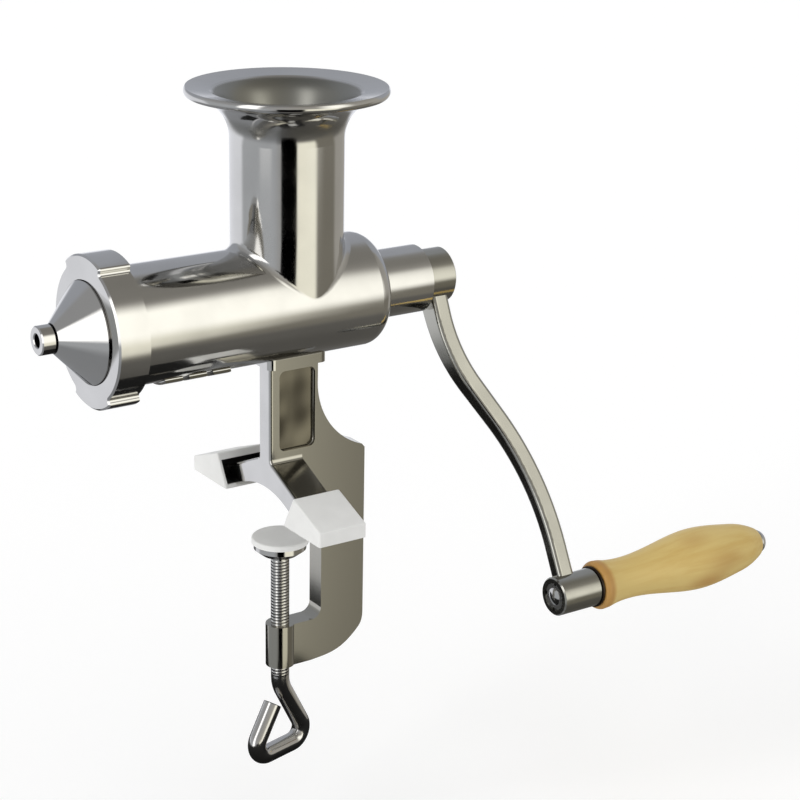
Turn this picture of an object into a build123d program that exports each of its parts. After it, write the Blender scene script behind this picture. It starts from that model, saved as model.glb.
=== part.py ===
from build123d import *
from math import cos, radians, sin
import os

# Hand-cranked wheatgrass juicer that clamps to the edge of a worktop.
# Frame: +X along the barrel towards the crank (the nozzle points to -X), +Z up.
# The origin lies in the worktop plane, straight below the feed tube.
# Everything is in millimetres.

os.makedirs("parts", exist_ok=True)

# ---------------------------------------------------------------- driving dimensions

AXIS_Z = 94.0  # height of the auger axis above the worktop
RIM_Z = 188.0  # top of the hopper rim
RIM_R = 43.9

BARREL_R = 25.5
BORE_R = 21.0
BARREL_FRONT = -89.0
BARREL_REAR = 41.0  # rear shoulder
REAR_WALL = 32.0  # inner face of the rear wall
SHOULDER_R = 7.0
BOSS_R = 15.4
BOSS_END = 67.8
BOSS_BORE_R = 10.0

TUBE_R = 24.7
TUBE_BORE_R = 21.5
TUBE_FOOT = 125.0  # the tube is welded on here, above the barrel's neck
TUBE_TOP = 166.0
NECK_BORE_R = 20.5  # narrower than the tube, so a tamper stops above the auger
SADDLE_FILLET = 4.0

SCREEN_R = 22.9
SCREEN_WALL = 1.0
SCREEN_REAR = -30.0
SCREEN_SLOTS_AROUND = 9
SCREEN_SLOT_ROWS = 3

DRAIN_SLOTS = 4
DRAIN_PITCH = 11.5
DRAIN_SLOT_X = 3.0
DRAIN_SLOT_Y = 18.0
DRAIN_MID = -51.25
DRAIN_LIP = 1.3  # the lips between the slots stand this far off the barrel
DRAIN_HALF_ANGLE = 29.0

RING_R = 30.0
RING_BORE_R = 26.0
RING_FRONT = -96.5
RING_REAR = -82.3
RING_WALL = 3.5
LUG_R = 32.8
LUG_HALF_ANGLE = 30.0
RING_TURN = -6.0  # the lugs stand this far off upright
CONE_BASE_R = 22.0
CONE_BASE_X = -97.3
NECK_R = 6.25
NECK_X = -112.3
NOZZLE_END = -119.0
PULP_HOLE_R = 2.75
SPIGOT_R = 4.5
FLANGE_R = 25.6
FLANGE_FRONT = -92.7
FLANGE_REAR = -90.3
BODY_GAP = 0.3  # space left between pieces that move past each other

AUGER_R = 20.5
AUGER_REAR = 29.1
AUGER_FRONT = -86.0
AUGER_TIP = -98.5
CORE_REAR_R = 9.0
CORE_FRONT_R = 14.5
FLIGHT_PITCH = 21.0
FLIGHT_ROOT_T = 5.0
FLIGHT_CREST_T = 3.0
SHAFT_R = 7.0
SHAFT_SPIGOT_R = 5.0
SHAFT_SPIGOT_X = 2.0
SHAFT_TAIL_X = 79.0
SQUARE_TAIL = 9.6
RUNNING_FIT = 0.05  # radial clearance of a shaft in its bush

HUB_R = 12.5
HUB_INNER = 68.3
HUB_OUTER = 82.3
HUB_SCREW_R = 3.0
HUB_SCREW_HEAD_R = 5.2
CRANK_ANGLE = 27.0  # turn of the crank from straight down, towards -Y
CRANK_R = 155.5
ARM_T = 8.5  # thickness of the bar in the plane of its bend
ARM_W_HUB = 13.4
ARM_W_MID = 8.4
ARM_W_END = 7.4
GRIP_HUB_R = 9.0
GRIP_HUB_INNER = 99.7
GRIP_HUB_OUTER = 121.3
SPINDLE_R = 4.0
GRIP_START = 122.8
GRIP_LENGTH = 100.0
GRIP_BORE_CLEARANCE = 0.08

STAND_T = 10.0
COLUMN_FRONT = -11.6
COLUMN_REAR = 13.1
FRAME_REAR = 38.4
THROAT_X = 15.4  # vertical face that meets the edge of the worktop
JAW_TOP = -60.0
JAW_BOTTOM = -80.5
ARCH_TOP = 8.7
ARCH_HALF = 24.5
LEG_REAR = 4.9
LEG_EDGE_R = 1.5
LEG_ROOT_Z = 21.0  # where the leg's upper side meets the column
LEG_ROOT_R = 2.5
TOE_Y = 36.0
TOE_TOP = 7.1
TOE_BOTTOM = 1.5
PAD_OUTER_Y = 55.5
PAD_FRONT = -17.2
PAD_REAR = 6.6
PAD_WALL = 1.5

SCREW_X = -3.5
SCREW_R = 4.25
BOSS_SCREW_R = 6.7
WORKTOP_T = 17.0  # thickness of the board that the screw is closed on
EYE_BOTTOM = -124.2  # centre line of the eye's lowest run
EYE_TURN = 14.4  # plan angle of the eye about the screw axis
PRESS_PAD_R = 12.0

# ---------------------------------------------------------------- planes and axes

SIDE = Plane(origin=(0, 0, 0), x_dir=(1, 0, 0), z_dir=(0, -1, 0))
BARREL_SIDE = Plane(origin=(0, 0, AXIS_Z), x_dir=(1, 0, 0), z_dir=(0, -1, 0))
BARREL_AXIS = Axis((0, 0, AXIS_Z), (1, 0, 0))

CRANK_DOWN = Vector(0, -sin(radians(CRANK_ANGLE)), -cos(radians(CRANK_ANGLE)))
CRANK_NORMAL = Vector(0, -cos(radians(CRANK_ANGLE)), sin(radians(CRANK_ANGLE)))
CRANK_SIDE = Plane(origin=(0, 0, AXIS_Z), x_dir=(1, 0, 0), z_dir=CRANK_NORMAL)
CRANK_FACE = Plane(origin=(0, 0, AXIS_Z), x_dir=CRANK_NORMAL * -1, z_dir=(1, 0, 0))
GRIP_Y = CRANK_R * CRANK_DOWN.Y
GRIP_Z = AXIS_Z + CRANK_R * CRANK_DOWN.Z
GRIP_SIDE = Plane(origin=(0, GRIP_Y, GRIP_Z), x_dir=(1, 0, 0), z_dir=(0, -1, 0))
GRIP_AXIS = Axis((0, GRIP_Y, GRIP_Z), (1, 0, 0))
SCREW_SIDE = Plane(origin=(SCREW_X, 0, 0), x_dir=(1, 0, 0), z_dir=(0, -1, 0))
SCREW_AXIS = Axis((SCREW_X, 0, 0), (0, 0, 1))


def across(x, centre_z=AXIS_Z, centre_y=0.0):
    """Plane square to the barrel at x, its normal along +X."""
    return Plane(origin=(x, centre_y, centre_z), x_dir=(0, 1, 0), z_dir=(1, 0, 0))


def wedge(middle, half_angle, reach):
    """Corners of a triangle from the axis that opens half_angle to both sides of middle (degrees)."""
    low = radians(middle - half_angle)
    high = radians(middle + half_angle)
    return [
        (0, 0),
        (reach * cos(low), reach * sin(low)),
        (reach * cos(high), reach * sin(high)),
    ]


def finish(piece, name):
    piece.part.label = name
    export_step(piece.part, f"parts/{name}.step")


# ---------------------------------------------------------------- barrel housing

with BuildPart() as barrel_housing:
    with BuildSketch(BARREL_SIDE):
        with BuildLine():
            Polyline(
                (BARREL_REAR - SHOULDER_R, BARREL_R),
                (BARREL_FRONT, BARREL_R),
                (BARREL_FRONT, 0),
                (BOSS_END, 0),
                (BOSS_END, BOSS_R),
                (BARREL_REAR, BOSS_R),
                (BARREL_REAR, BARREL_R - SHOULDER_R),
            )
            RadiusArc(
                (BARREL_REAR, BARREL_R - SHOULDER_R),
                (BARREL_REAR - SHOULDER_R, BARREL_R),
                -SHOULDER_R,
            )
        make_face()
    revolve(axis=BARREL_AXIS)
    with BuildSketch(Plane.XY.offset(AXIS_Z)):
        Circle(TUBE_R)
    extrude(amount=TUBE_FOOT - AXIS_Z)
    saddle = barrel_housing.edges(Select.LAST).filter_by(GeomType.BSPLINE)
    fillet(saddle, SADDLE_FILLET)
    # curved lips under the barrel, one between each two drain slots
    for lip in range(DRAIN_SLOTS - 1):
        lip_mid = DRAIN_MID + (lip - (DRAIN_SLOTS - 2) / 2) * DRAIN_PITCH
        lip_length = DRAIN_PITCH - DRAIN_SLOT_X
        with BuildSketch(across(lip_mid - lip_length / 2)):
            Circle(BARREL_R + DRAIN_LIP)
            below = wedge(270, DRAIN_HALF_ANGLE, 2 * BARREL_R)
            Polygon(*below, align=None, mode=Mode.INTERSECT)
        extrude(amount=lip_length)
    # bores
    with BuildSketch(BARREL_SIDE):
        with BuildLine():
            Polyline(
                (BARREL_FRONT - 1, 0),
                (BARREL_FRONT - 1, SCREEN_R),
                (SCREEN_REAR, SCREEN_R),
                (SCREEN_REAR, BORE_R),
                (REAR_WALL, BORE_R),
                (REAR_WALL, BOSS_BORE_R),
                (BOSS_END + 1, BOSS_BORE_R),
                (BOSS_END + 1, 0),
                close=True,
            )
        make_face()
    revolve(axis=BARREL_AXIS, mode=Mode.SUBTRACT)
    with BuildSketch(Plane.XY.offset(AXIS_Z)):
        Circle(NECK_BORE_R)
    extrude(amount=TUBE_FOOT - AXIS_Z, mode=Mode.SUBTRACT)
    # drain slots
    with BuildSketch(Plane.XY.offset(AXIS_Z - BARREL_R - DRAIN_LIP)):
        with Locations((DRAIN_MID, 0)):
            with GridLocations(DRAIN_PITCH, 0, DRAIN_SLOTS, 1):
                Rectangle(DRAIN_SLOT_X, DRAIN_SLOT_Y)
    extrude(amount=BARREL_R / 2, mode=Mode.SUBTRACT)
finish(barrel_housing, "barrel_housing")

# ---------------------------------------------------------------- feed tube

with BuildPart() as feed_tube:
    with BuildSketch(Plane.XY.offset(TUBE_FOOT)):
        Circle(TUBE_R)
        Circle(TUBE_BORE_R, mode=Mode.SUBTRACT)
    extrude(amount=TUBE_TOP - TUBE_FOOT)
finish(feed_tube, "feed_tube")

# ---------------------------------------------------------------- hopper funnel

FLARE_R = 18.5
LIP_T = RIM_Z - TUBE_TOP - FLARE_R  # height of the rolled edge
LIP_INNER_R = 33.0

with BuildPart() as hopper_funnel:
    with BuildSketch(SIDE):
        with BuildLine():
            Line((TUBE_BORE_R, TUBE_TOP), (TUBE_R, TUBE_TOP))
            RadiusArc((TUBE_R, TUBE_TOP), (TUBE_R + FLARE_R, RIM_Z - LIP_T), FLARE_R)
            ThreePointArc(
                (TUBE_R + FLARE_R, RIM_Z - LIP_T),
                (RIM_R, RIM_Z - LIP_T / 2),
                (TUBE_R + FLARE_R, RIM_Z),
            )
            Line((TUBE_R + FLARE_R, RIM_Z), (LIP_INNER_R, RIM_Z - 1.6))
            Spline(
                (LIP_INNER_R, RIM_Z - 1.6),
                (TUBE_BORE_R + 3.0, RIM_Z - 11.5),
                (TUBE_BORE_R, TUBE_TOP),
                tangents=[(-1, -0.35), (0, -1)],
            )
        make_face()
    revolve(axis=Axis.Z)
finish(hopper_funnel, "hopper_funnel")

# ---------------------------------------------------------------- clamp stand

ARCH_MID_Z = 7.05
SHOULDER_Z = 57.0  # the C-frame's curved back leaves the column here
BACK_CORNER = (36.9, 21.4)
BACK_TOP = 19.6  # top of the C-frame's straight back
BACK_CURVE_R = 35.5
BELLY_START = 13.5
BELLY_RISE = 18.5
THROAT_R = 5.0
SADDLE_X = 29.5
SADDLE_Y = 18.0
SADDLE_BOTTOM = 65.5
SADDLE_T = 7.0
SADDLE_CORNER_R = 3.0
PANEL_DEPTH = 2.0
PANEL_BOTTOM = 25.6
PANEL_TOP = 63.0
PANEL_FRONT = -6.8
PANEL_REAR = 11.6
PANEL_CORNER_R = 3.0


def lies_on_a_leg_front(edge):
    """True for the long upper edge of each sloping leg on the nozzle side."""
    middle = edge.position_at(0.5)
    in_front = abs(middle.X - COLUMN_FRONT) < 0.1
    return edge.length > 15 and 9 < abs(middle.Y) < TOE_Y and middle.Z > TOE_TOP and in_front


with BuildPart() as clamp_stand:
    # column and C-frame, cut from one side outline
    with BuildSketch(SIDE):
        with BuildLine():
            Polyline(
                (COLUMN_REAR, SHOULDER_Z),
                (COLUMN_REAR, SADDLE_BOTTOM + SADDLE_T / 2),
                (COLUMN_FRONT, SADDLE_BOTTOM + SADDLE_T / 2),
                (COLUMN_FRONT, ARCH_TOP),
                (THROAT_X, ARCH_TOP),
                (THROAT_X, JAW_TOP),
                (SCREW_X, JAW_TOP),
                (SCREW_X, JAW_BOTTOM),
                (SCREW_X + BELLY_START, JAW_BOTTOM),
            )
            # the jaw's underside swells up into the back
            Spline(
                (SCREW_X + BELLY_START, JAW_BOTTOM),
                (27.0, JAW_BOTTOM + 3.5),
                (35.2, JAW_BOTTOM + 9.9),
                (FRAME_REAR, JAW_BOTTOM + BELLY_RISE),
                tangents=[(1, 0.08), (0, 1)],
            )
            Line((FRAME_REAR, JAW_BOTTOM + BELLY_RISE), (FRAME_REAR, BACK_TOP))
            Line((FRAME_REAR, BACK_TOP), BACK_CORNER)
            RadiusArc(BACK_CORNER, (COLUMN_REAR, SHOULDER_Z), BACK_CURVE_R)
        make_face()
    extrude(amount=STAND_T / 2, both=True)
    throat_corners = clamp_stand.edges().filter_by(Axis.Y).filter_by_position(Axis.X, 15, 16)
    fillet(throat_corners, THROAT_R)
    # recessed panel in both faces of the column
    for face_y in (-STAND_T / 2, STAND_T / 2):
        into = PANEL_DEPTH if face_y < 0 else -PANEL_DEPTH
        with BuildSketch(Plane.XZ.offset(-face_y)) as panel:
            with Locations(((PANEL_FRONT + PANEL_REAR) / 2, (PANEL_BOTTOM + PANEL_TOP) / 2)):
                Rectangle(PANEL_REAR - PANEL_FRONT, PANEL_TOP - PANEL_BOTTOM)
            corners = panel.vertices().sort_by(Axis.X)
            fillet(corners, PANEL_CORNER_R)
        extrude(amount=-into, mode=Mode.SUBTRACT)
    # saddle plate that is welded under the barrel
    with BuildSketch(Plane.XY.offset(SADDLE_BOTTOM)):
        with Locations(((COLUMN_FRONT + COLUMN_REAR) / 2, 0)):
            RectangleRounded(SADDLE_X, SADDLE_Y, SADDLE_CORNER_R)
    extrude(amount=SADDLE_T)
    # splayed legs over the arch
    with BuildSketch(Plane.YZ.offset(COLUMN_FRONT)):
        with BuildLine():
            Line((0, PANEL_BOTTOM), (STAND_T / 2, PANEL_BOTTOM))
            FilletPolyline(
                (STAND_T / 2, PANEL_BOTTOM),
                (STAND_T / 2, LEG_ROOT_Z),
                (TOE_Y, TOE_TOP),
                radius=LEG_ROOT_R,
            )
            Line((TOE_Y, TOE_TOP), (TOE_Y, TOE_BOTTOM))
            Line((TOE_Y, TOE_BOTTOM), (ARCH_HALF, TOE_BOTTOM))
            ThreePointArc((ARCH_HALF, TOE_BOTTOM), (ARCH_HALF / 2, ARCH_MID_Z), (0, ARCH_TOP))
            mirror(about=Plane.YZ)
        make_face()
    extrude(amount=LEG_REAR - COLUMN_FRONT)
    leg_fronts = clamp_stand.edges(Select.LAST).filter_by(lies_on_a_leg_front)
    fillet(leg_fronts, LEG_EDGE_R)
    # boss that carries the screw
    with BuildSketch(Plane.XY.offset(JAW_BOTTOM)):
        with Locations((SCREW_X, 0)):
            Circle(BOSS_SCREW_R)
    extrude(amount=JAW_TOP - JAW_BOTTOM)
    with BuildSketch(Plane.XY.offset(JAW_BOTTOM)):
        with Locations((SCREW_X, 0)):
            Circle(SCREW_R + RUNNING_FIT)
    extrude(amount=JAW_TOP - JAW_BOTTOM, mode=Mode.SUBTRACT)
    # the barrel's seat
    with BuildSketch(across(-SADDLE_X)):
        Circle(BARREL_R)
    extrude(amount=2 * SADDLE_X, mode=Mode.SUBTRACT)
finish(clamp_stand, "clamp_stand")

# ---------------------------------------------------------------- foot pads

PAD_RIDGE = (33.3, 15.1)
PAD_OUTER_TOP = 6.6
PAD_INNER_Y = 25.2
PAD_EDGE_R = 0.9
SOCKET_INNER_Y = 20.0
SOCKET_Y = 38.0
SOCKET_END_TOP = 9.0
SOCKET_TOP = 11.8

for side, name in ((-1, "foot_pad_left"), (1, "foot_pad_right")):
    with BuildPart() as foot_pad:
        with BuildSketch(Plane.YZ.offset(PAD_FRONT)):
            with BuildLine():
                Polyline(
                    (side * PAD_INNER_Y, 0),
                    (side * PAD_OUTER_Y, 0),
                    (side * PAD_OUTER_Y, PAD_OUTER_TOP),
                    (side * PAD_RIDGE[0], PAD_RIDGE[1]),
                    close=True,
                )
            make_face()
        extrude(amount=PAD_REAR - PAD_FRONT)
        fillet(foot_pad.edges().filter_by_position(Axis.Z, 0.5, RIM_Z), PAD_EDGE_R)
        # socket for the toe, open on the inner side
        with BuildSketch(Plane.YZ.offset(PAD_FRONT + PAD_WALL)):
            with BuildLine():
                Polyline(
                    (side * SOCKET_INNER_Y, TOE_BOTTOM),
                    (side * SOCKET_Y, TOE_BOTTOM),
                    (side * SOCKET_Y, SOCKET_END_TOP),
                    (side * PAD_RIDGE[0], SOCKET_TOP),
                    (side * SOCKET_INNER_Y, SOCKET_TOP),
                    close=True,
                )
            make_face()
        extrude(amount=PAD_REAR - PAD_FRONT - 2 * PAD_WALL, mode=Mode.SUBTRACT)
    finish(foot_pad, name)

# ---------------------------------------------------------------- bearing pieces

THRUST_T = 2.5
SEAL_T = 3.5

with BuildPart() as thrust_washer:
    with BuildSketch(across(REAR_WALL - THRUST_T)):
        Circle(BORE_R - 0.1)
        Circle(SHAFT_R + BODY_GAP, mode=Mode.SUBTRACT)
    extrude(amount=THRUST_T)
finish(thrust_washer, "thrust_washer")

with BuildPart() as shaft_seal:
    with BuildSketch(across(REAR_WALL)):
        Circle(BOSS_BORE_R)
        Circle(SHAFT_R + RUNNING_FIT, mode=Mode.SUBTRACT)
    extrude(amount=SEAL_T)
finish(shaft_seal, "shaft_seal")

with BuildPart() as rear_bush:
    with BuildSketch(across(REAR_WALL + SEAL_T)):
        Circle(BOSS_BORE_R)
        Circle(SHAFT_R + RUNNING_FIT, mode=Mode.SUBTRACT)
    extrude(amount=BOSS_END - BODY_GAP - REAR_WALL - SEAL_T)
    chamfer(rear_bush.edges().group_by(Axis.X)[-1], 0.5)
finish(rear_bush, "rear_bush")

# ---------------------------------------------------------------- strainer screen

SCREEN_LENGTH = SCREEN_REAR - BARREL_FRONT
SCREEN_SLOT_TURN = 13.0  # degrees from slot to slot
SCREEN_SLOT_X = 11.0
SCREEN_SLOT_W = 1.2
SCREEN_SLOT_PITCH = 14.0

with BuildPart() as strainer_screen:
    with BuildSketch(across(BARREL_FRONT)):
        Circle(SCREEN_R)
        Circle(SCREEN_R - SCREEN_WALL, mode=Mode.SUBTRACT)
    extrude(amount=SCREEN_LENGTH)
    # slots round the lower half, over the drain
    for index in range(SCREEN_SLOTS_AROUND):
        turn = radians((index - (SCREEN_SLOTS_AROUND - 1) / 2) * SCREEN_SLOT_TURN)
        outward = Vector(0, sin(turn), -cos(turn))
        wall = Plane(origin=(DRAIN_MID, 0, AXIS_Z), x_dir=(1, 0, 0), z_dir=outward)
        with BuildSketch(wall.offset(SCREEN_R - 3 * SCREEN_WALL)):
            with GridLocations(SCREEN_SLOT_PITCH, 0, SCREEN_SLOT_ROWS, 1):
                Rectangle(SCREEN_SLOT_X, SCREEN_SLOT_W)
        extrude(amount=5 * SCREEN_WALL, mode=Mode.SUBTRACT)
finish(strainer_screen, "strainer_screen")

# ---------------------------------------------------------------- nozzle and its ring

SPIGOT_DEPTH = 6.0  # the tip's spigot sits this deep in the cone
GROOVE = 0.8  # dark groove between the cone and the tip
FLANGE_INNER_R = 19.5

with BuildPart() as nozzle_cone:
    with BuildSketch(BARREL_SIDE):
        with BuildLine():
            Polyline(
                (FLANGE_REAR, FLANGE_INNER_R),
                (FLANGE_REAR, FLANGE_R),
                (FLANGE_FRONT, FLANGE_R),
                (FLANGE_FRONT, CONE_BASE_R),
                (CONE_BASE_X, CONE_BASE_R),
                (NECK_X, NECK_R),
                (NECK_X, SPIGOT_R),
                (NECK_X + SPIGOT_DEPTH, SPIGOT_R),
                (NECK_X + SPIGOT_DEPTH, PULP_HOLE_R),
                (NECK_X + SPIGOT_DEPTH + 1.0, PULP_HOLE_R),
                close=True,
            )
        make_face()
    revolve(axis=BARREL_AXIS)
finish(nozzle_cone, "nozzle_cone")

with BuildPart() as nozzle_tip:
    with BuildSketch(BARREL_SIDE):
        with BuildLine():
            Polyline(
                (NOZZLE_END, PULP_HOLE_R + 0.6),
                (NOZZLE_END, NECK_R - 0.5),
                (NOZZLE_END + 0.5, NECK_R),
                (NECK_X - GROOVE, NECK_R),
                (NECK_X - GROOVE, SPIGOT_R),
                (NECK_X + SPIGOT_DEPTH, SPIGOT_R),
                (NECK_X + SPIGOT_DEPTH, PULP_HOLE_R),
                (NOZZLE_END + 0.6, PULP_HOLE_R),
                close=True,
            )
        make_face()
    revolve(axis=BARREL_AXIS)
finish(nozzle_tip, "nozzle_tip")

with BuildPart() as cap_gasket:
    with BuildSketch(across(FLANGE_REAR)):
        Circle(BARREL_R - 0.4)
        Circle(SCREEN_R - SCREEN_WALL, mode=Mode.SUBTRACT)
    extrude(amount=BARREL_FRONT - FLANGE_REAR - RUNNING_FIT)
finish(cap_gasket, "cap_gasket")

with BuildPart() as cap_ring:
    with BuildSketch(across(RING_FRONT)):
        Circle(RING_R)
    extrude(amount=RING_REAR - RING_FRONT)
    # two grip lugs, above and below
    for up in (90 + RING_TURN, 270 + RING_TURN):
        with BuildSketch(across(RING_FRONT)):
            Circle(LUG_R)
            Polygon(*wedge(up, LUG_HALF_ANGLE, 2 * LUG_R), align=None, mode=Mode.INTERSECT)
        extrude(amount=RING_REAR - RING_FRONT)
    fillet(cap_ring.edges().filter_by(Axis.X), 1.2)
    chamfer(cap_ring.edges().group_by(Axis.X)[0], 0.8)
    with BuildSketch(BARREL_SIDE):
        with BuildLine():
            Polyline(
                (RING_FRONT - 1, 0),
                (RING_FRONT - 1, CONE_BASE_R + BODY_GAP),
                (RING_FRONT + RING_WALL, CONE_BASE_R + BODY_GAP),
                (RING_FRONT + RING_WALL, RING_BORE_R),
                (RING_REAR + 1, RING_BORE_R),
                (RING_REAR + 1, 0),
                close=True,
            )
        make_face()
    revolve(axis=BARREL_AXIS, mode=Mode.SUBTRACT)
finish(cap_ring, "cap_ring")

# ---------------------------------------------------------------- auger and its shaft

DISC_T = 3.0  # closing disc at the auger's rear
TIP_R = 3.0
FLIGHT_START = -82.0
FLIGHT_TURNS = 5
FLIGHT_DEPTH = 4.0  # the path runs this far inside the crest
FLIGHT_ROOT_R = 7.0  # the root is sunk into the core

with BuildPart() as auger:
    # core that thickens towards the nozzle
    with BuildSketch(BARREL_SIDE):
        with BuildLine():
            Polyline(
                (AUGER_REAR, SHAFT_SPIGOT_R),
                (AUGER_REAR, AUGER_R),
                (AUGER_REAR - DISC_T, AUGER_R),
                (AUGER_REAR - DISC_T, CORE_REAR_R),
                (0.0, CORE_REAR_R),
                (AUGER_FRONT, CORE_FRONT_R),
                (AUGER_TIP, TIP_R),
                (AUGER_TIP, 0),
                (SHAFT_SPIGOT_X, 0),
                (SHAFT_SPIGOT_X, SHAFT_SPIGOT_R),
                close=True,
            )
        make_face()
    revolve(axis=BARREL_AXIS)
    # left-hand flight, so that clockwise cranking feeds towards the nozzle
    for turn in range(FLIGHT_TURNS):
        turn_start = Vector(FLIGHT_START + turn * FLIGHT_PITCH, 0, AXIS_Z)
        turn_path = Helix(
            pitch=FLIGHT_PITCH,
            height=FLIGHT_PITCH,
            radius=AUGER_R - FLIGHT_DEPTH,
            center=turn_start,
            direction=(1, 0, 0),
            lefthand=True,
            mode=Mode.PRIVATE,
        )
        section = Plane(
            origin=turn_path @ 0,
            x_dir=(turn_path @ 0) - turn_start,
            z_dir=turn_path % 0,
        )
        with BuildSketch(section):
            with BuildLine():
                Polyline(
                    (FLIGHT_ROOT_R - AUGER_R + FLIGHT_DEPTH, -FLIGHT_ROOT_T / 2),
                    (FLIGHT_DEPTH, -FLIGHT_CREST_T / 2),
                    (FLIGHT_DEPTH, FLIGHT_CREST_T / 2),
                    (FLIGHT_ROOT_R - AUGER_R + FLIGHT_DEPTH, FLIGHT_ROOT_T / 2),
                    close=True,
                )
            make_face()
        sweep(path=turn_path, is_frenet=True)
finish(auger, "auger")

TAIL_CORNER_R = 1.2
TAIL_BORE = 12.0  # depth of the hole for the crank screw

with BuildPart() as drive_shaft:
    with BuildSketch(across(SHAFT_SPIGOT_X)):
        Circle(SHAFT_SPIGOT_R)
    extrude(amount=AUGER_REAR - SHAFT_SPIGOT_X)
    with BuildSketch(across(AUGER_REAR)):
        Circle(SHAFT_R)
    extrude(amount=BOSS_END - AUGER_REAR)
    with BuildSketch(across(BOSS_END)):
        RectangleRounded(SQUARE_TAIL, SQUARE_TAIL, TAIL_CORNER_R)
    extrude(amount=SHAFT_TAIL_X - BOSS_END)
    with BuildSketch(across(SHAFT_TAIL_X)):
        Circle(HUB_SCREW_R)
    extrude(amount=-TAIL_BORE, mode=Mode.SUBTRACT)
finish(drive_shaft, "drive_shaft")

# ---------------------------------------------------------------- crank

BAR_TOP_X = 74.9  # the bar's centre line at the hub
BAR_END_X = 107.5  # and at the grip
FIRST_BEND = (36.7, 75.0)  # distance from the hub and radius
SECOND_BEND = (99.8, 140.0)
ARM_EDGE_R = 1.8
HUB_SCREW_SEAT = 79.3
HUB_WASHER_T = 0.6
HUB_CHAMFER = 0.6
SCREW_LENGTH = 11.5
HEX_R = 2.3
HEX_DEPTH = 4.0
NUT_R = 6.2
NUT_T = 1.6
NUT_RECESS = 2.0
NUT_NOTCH_R = 0.8
WASHER_T = 0.9


def runs_along_the_bar(edge):
    """True for the long edges of the bar, which are the ones that get rounded."""
    return edge.length > 10.5 and abs(edge.tangent_at(0.5).dot(CRANK_NORMAL)) < 0.5


with BuildPart() as crank_arm:
    # S-bent bar: its bend carries the grip outwards along the barrel axis
    with BuildSketch(CRANK_SIDE):
        with BuildLine():
            FilletPolyline(
                (BAR_TOP_X, 0),
                (BAR_TOP_X, -FIRST_BEND[0]),
                (BAR_END_X, -SECOND_BEND[0]),
                (BAR_END_X, -CRANK_R),
                radius=[FIRST_BEND[1], SECOND_BEND[1]],
            )
        trace(line_width=ARM_T)
    extrude(amount=ARM_W_HUB / 2, both=True)
    # the bar narrows towards the grip
    with BuildSketch(CRANK_FACE):
        with BuildLine():
            Line((-ARM_W_HUB / 2, 0), (ARM_W_HUB / 2, 0))
            for side in (-1, 1):
                ThreePointArc(
                    (side * ARM_W_HUB / 2, 0),
                    (side * ARM_W_MID / 2, -0.45 * CRANK_R),
                    (side * ARM_W_END / 2, -CRANK_R),
                )
            Line((-ARM_W_END / 2, -CRANK_R), (ARM_W_END / 2, -CRANK_R))
        make_face()
    extrude(amount=GRIP_HUB_OUTER, mode=Mode.INTERSECT)
    fillet(crank_arm.edges().filter_by(runs_along_the_bar), ARM_EDGE_R)
    with BuildSketch(across(HUB_INNER)):
        Circle(HUB_R)
    extrude(amount=HUB_OUTER - HUB_INNER)
    with BuildSketch(across(GRIP_HUB_INNER, GRIP_Z, GRIP_Y)):
        Circle(GRIP_HUB_R)
    extrude(amount=GRIP_HUB_OUTER - GRIP_HUB_INNER)
    round_edges = crank_arm.edges().filter_by(GeomType.CIRCLE).filter_by(lambda edge: edge.is_closed)
    chamfer(round_edges.filter_by(lambda edge: edge.radius > GRIP_HUB_R - 0.1), HUB_CHAMFER)
    # square drive and its screw, then the spindle hole with the nut's recess
    with BuildSketch(across(HUB_INNER)):
        RectangleRounded(SQUARE_TAIL, SQUARE_TAIL, TAIL_CORNER_R)
    extrude(amount=HUB_SCREW_SEAT - HUB_INNER, mode=Mode.SUBTRACT)
    with BuildSketch(across(HUB_SCREW_SEAT)):
        Circle(HUB_SCREW_HEAD_R + 0.6)
    extrude(amount=HUB_OUTER - HUB_SCREW_SEAT, mode=Mode.SUBTRACT)
    with BuildSketch(across(GRIP_HUB_INNER, GRIP_Z, GRIP_Y)):
        Circle(SPINDLE_R)
    extrude(amount=GRIP_HUB_OUTER - GRIP_HUB_INNER, mode=Mode.SUBTRACT)
    with BuildSketch(across(GRIP_HUB_INNER, GRIP_Z, GRIP_Y)):
        Circle(NUT_R + 0.2)
    extrude(amount=NUT_RECESS, mode=Mode.SUBTRACT)
finish(crank_arm, "crank_arm")

with BuildPart() as crank_washer:
    with BuildSketch(across(HUB_SCREW_SEAT)):
        Circle(HUB_SCREW_HEAD_R + 0.4)
        Circle(HUB_SCREW_R + 0.1, mode=Mode.SUBTRACT)
    extrude(amount=HUB_WASHER_T)
finish(crank_washer, "crank_washer")

with BuildPart() as crank_screw:
    with BuildSketch(across(SHAFT_TAIL_X - SCREW_LENGTH)):
        Circle(HUB_SCREW_R)
    extrude(amount=HUB_SCREW_SEAT + HUB_WASHER_T - SHAFT_TAIL_X + SCREW_LENGTH)
    with BuildSketch(across(HUB_SCREW_SEAT + HUB_WASHER_T)):
        Circle(HUB_SCREW_HEAD_R)
    extrude(amount=HUB_OUTER - HUB_SCREW_SEAT - HUB_WASHER_T)
    # hexagon socket
    with BuildSketch(across(HUB_OUTER)):
        RegularPolygon(HEX_R, 6)
    extrude(amount=-HEX_DEPTH, mode=Mode.SUBTRACT)
finish(crank_screw, "crank_screw")

# ---------------------------------------------------------------- grip

GRIP_END = GRIP_START + GRIP_LENGTH
SPINDLE_HEAD_R = 6.0
SPINDLE_DOME = 5.6
TAIL_DOME = 0.9

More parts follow.
